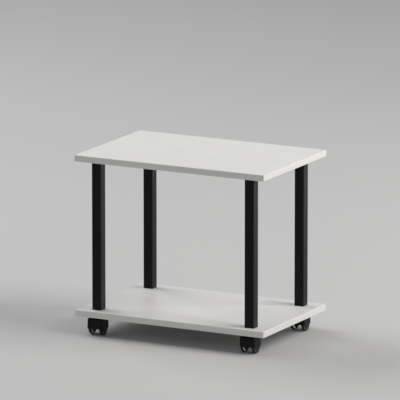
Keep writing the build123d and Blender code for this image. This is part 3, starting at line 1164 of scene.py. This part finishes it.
@dataclass(frozen=True)
class CasterSet:
    """Four casters: their fine wheels, plates, hoods and keels, and what these are finished in."""

    wheel: Wheel = Wheel()
    hood: Hood = Hood()
    hood_finish: HoodNylon = HoodNylon()
    wheel_finish: WheelNylon = WheelNylon()
    plate_finish: PlatedSteel = PlatedSteel(
        name="polished_steel_plate",
        metal=(0.66, 0.66, 0.65),
        clouded=(0.56, 0.56, 0.56),
        gloss=0.06,
    )

    def build(self) -> list[bpy.types.Object]:
        """Builds and dresses every caster's pieces.

        Returns:
            The new pieces.
        """
        hood_material = self.hood_finish.make()
        any_wheel = f"caster_wheel_left_{Station.FRONT_LEFT.value}"
        tread = self.wheel.tread_shares(*self.wheel.size_of(any_wheel))
        wheel_material = self.wheel_finish.make(tread)
        plate_material = self.plate_finish.make(by_uv=True)
        made = []
        for station in Station:
            caster, hood = f"caster_{station.value}", f"caster_hood_{station.value}"
            stem = f"caster_stem_{station.value}"
            shell = self.hood.build_shell(f"hood_shell_{station.value}", hood, stem)
            keel = self.hood.build_keel(f"hood_keel_{station.value}", hood, stem)
            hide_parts(hood)
            for piece in (shell, keel):
                made.append(settle(piece, caster, hood_material))
            for hand in Hand:
                body = f"wheel_{hand.name.lower()}_{station.value}"
                node = f"caster_{body}"
                wheel = self.wheel.build(f"{body}_fine", node, hand)
                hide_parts(node)
                plate = self.wheel.build_plate(f"{body}_plate", node, hand)
                made.append(settle(wheel, body, wheel_material))
                made.append(settle(plate, body, plate_material))
        return made


def settle(
    piece: bpy.types.Object, body: str, material: bpy.types.Material
) -> bpy.types.Object:
    """Dresses a new piece and hangs it on its body.

    Args:
        piece: the new piece, in place.
        body: the body that it moves with.
        material: its finish.

    Returns:
        The piece.
    """
    piece.data.materials.append(material)
    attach(piece, body)
    log.info("%s rides on %s", piece.name, body)
    return piece


# ------------------------------------------------------------------------ the frame's own parts
@dataclass(frozen=True)
class PostLayout:
    """Where the four posts stand, in metres, read from the frame."""

    half_span_x: float
    half_span_y: float
    middle_y: float
    half_size: float
    foot: float

    @classmethod
    def from_frame(cls) -> "PostLayout":
        """Reads the layout from two posts on one diagonal.

        Returns:
            The layout.
        """
        low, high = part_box("post_front_left")
        near, far = middle_of("post_front_left"), middle_of("post_rear_right")
        return cls(
            half_span_x=(far.x - near.x) / 2,
            half_span_y=(far.y - near.y) / 2,
            middle_y=(far.y + near.y) / 2,
            half_size=(high.x - low.x) / 2,
            foot=low.z,
        )


@dataclass(frozen=True)
class Carcass:
    """Boards, edge bands, posts and fixings: the frame's own nodes in their finishes."""

    laminate: Laminate = Laminate()
    band: EdgeBand = EdgeBand()
    coat: PowderCoat = PowderCoat()
    plug: PlugNylon = PlugNylon()
    zinc: PlatedSteel = PlatedSteel(
        name="bright_zinc_steel",
        metal=(0.66, 0.66, 0.64),
        clouded=(0.52, 0.53, 0.53),
        gloss=0.26,
    )
    spring: PlatedSteel = PlatedSteel(
        name="dark_spring_steel",
        metal=(0.30, 0.29, 0.28),
        clouded=(0.22, 0.22, 0.22),
        gloss=0.34,
    )

    def dress(self) -> None:
        """Gives each of the frame's nodes the finish of its material slot."""
        low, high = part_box("top_board")
        mids = [middle_of("top_board").z, middle_of("lower_board").z]
        finishes = {
            Slot.LAMINATE: self.laminate.make(high.x, high.y),
            Slot.BAND: self.band.make(mids, (high.z - low.z) / 2),
            Slot.POWDER_COAT: self.coat.make(PostLayout.from_frame()),
            Slot.PLUG: self.plug.make(),
            Slot.ZINC: self.zinc.make(),
            Slot.SPRING: self.spring.make(),
        }
        by_node = {entry["node"]: entry["material_slot"] for entry in frame["record"]["subparts"]}
        for name, node in frame["nodes"].items():
            material = finishes.get(Slot(by_node[name]))
            if material is None:
                continue
            for holder in node.material_slots:
                holder.material = material
            log.info("%s is dressed in %s", name, material.name)


# -------------------------------------------------------------------------------- the studio
def set_facing(
    holder: bpy.types.Object, target: Vector, azimuth: float, elevation: float, distance: float
) -> None:
    """Links a camera or a lamp to the scene, at a bearing from a point and facing it.

    The way back from the point is (sin a cos e, -cos a cos e, sin e) for azimuth a, which is 0 at
    the front and 90 at the right, and elevation e.

    Args:
        holder: the camera's or the lamp's object.
        target: the point that it faces.
        azimuth: degrees round from the front.
        elevation: degrees up.
        distance: metres from the point.
    """
    around, up = math.radians(azimuth), math.radians(elevation)
    level = math.cos(up)
    back = Vector((math.sin(around) * level, -math.cos(around) * level, math.sin(up)))
    holder.location = target + back * distance
    holder.rotation_mode = "QUATERNION"
    holder.rotation_quaternion = (-back).to_track_quat("-Z", "Y")
    bpy.context.scene.collection.objects.link(holder)


@dataclass(frozen=True)
class Camera:
    """A very long lens from the front right, almost a parallel view."""

    azimuth: float = 27.494
    elevation: float = 12.206
    distance: float = 17.184
    lens: float = 630.0
    sensor: float = 36.0
    near: float = 0.1
    far: float = 200.0
    aim: Triple = (-0.0115, 0.0187, 0.3261)

    def place(self) -> None:
        """Makes the camera and sets it as the scene's own."""
        data = bpy.data.cameras.new("studio_camera")
        data.lens, data.sensor_width = self.lens, self.sensor
        data.clip_start, data.clip_end = self.near, self.far
        camera = bpy.data.objects.new("studio_camera", data)
        set_facing(camera, Vector(self.aim), self.azimuth, self.elevation, self.distance)
        bpy.context.scene.camera = camera


@dataclass(frozen=True)
class Lamp:
    """A soft square lamp that faces a point of the stand."""

    name: str
    azimuth: float
    elevation: float
    distance: float
    size: float
    power: float
    colour: Colour = (1.0, 1.0, 1.0)

    def hang(self, target: Vector) -> None:
        """Hangs the lamp at its bearing from a point, facing it.

        Args:
            target: the point.
        """
        data = bpy.data.lights.new(self.name, "AREA")
        data.shape, data.size = "SQUARE", self.size
        data.energy, data.color = self.power, self.colour
        lamp = bpy.data.objects.new(self.name, data)
        set_facing(lamp, target, self.azimuth, self.elevation, self.distance)


@dataclass(frozen=True)
class Studio:
    """A pale floor, an even sky and soft lamps, brightest from the right."""

    floor_colour: Colour = (0.53, 0.525, 0.52)
    floor_haze: float = 0.75
    floor_size: float = 80.0
    sky: Colour = (0.95, 0.97, 1.0)
    sky_strength: float = 0.30
    key: Lamp = Lamp(
        name="key_lamp",
        azimuth=98.0,
        elevation=42.0,
        distance=6.0,
        size=3.4,
        power=238.0,
        colour=(1.0, 0.985, 0.965),
    )
    left: Lamp = Lamp(
        name="left_lamp", azimuth=-102.0, elevation=42.0, distance=6.0, size=3.6, power=185.0
    )
    rear: Lamp = Lamp(
        name="rear_lamp", azimuth=150.0, elevation=6.0, distance=3.0, size=1.2, power=14.0
    )

    def build(self) -> None:
        """Lays the floor, lights the sky and hangs the lamps."""
        mesh = bpy.data.meshes.new("studio_floor")
        half = self.floor_size / 2
        corners = [(-half, -half, 0), (half, -half, 0), (half, half, 0), (-half, half, 0)]
        mesh.from_pydata(corners, [], [(0, 1, 2, 3)])
        floor = bpy.data.objects.new("studio_floor", mesh)
        bpy.context.scene.collection.objects.link(floor)
        web = NodeWeb("studio_floor_paint")
        web.set(Base_Color=opaque(self.floor_colour), Roughness=self.floor_haze)
        mesh.materials.append(web.material)
        world = bpy.data.worlds.new("studio_sky")
        world.use_nodes = True
        backdrop = world.node_tree.nodes["Background"]
        backdrop.inputs["Color"].default_value = opaque(self.sky)
        backdrop.inputs["Strength"].default_value = self.sky_strength
        bpy.context.scene.world = world
        target = (CAD_BOX[0] + CAD_BOX[1]) / 2
        for lamp in (self.key, self.left, self.rear):
            lamp.hang(target)
        bpy.context.scene.view_settings.view_transform = "Standard"


def main() -> None:
    """Builds the stand's looks in order and reports them."""
    logging.basicConfig(level=logging.INFO, format="%(name)s: %(message)s")
    Camera().place()
    Studio().build()
    Carcass().dress()
    made = CasterSet().build()
    log.info("%d new pieces", len(made))


if __name__ == "__main__":
    main()
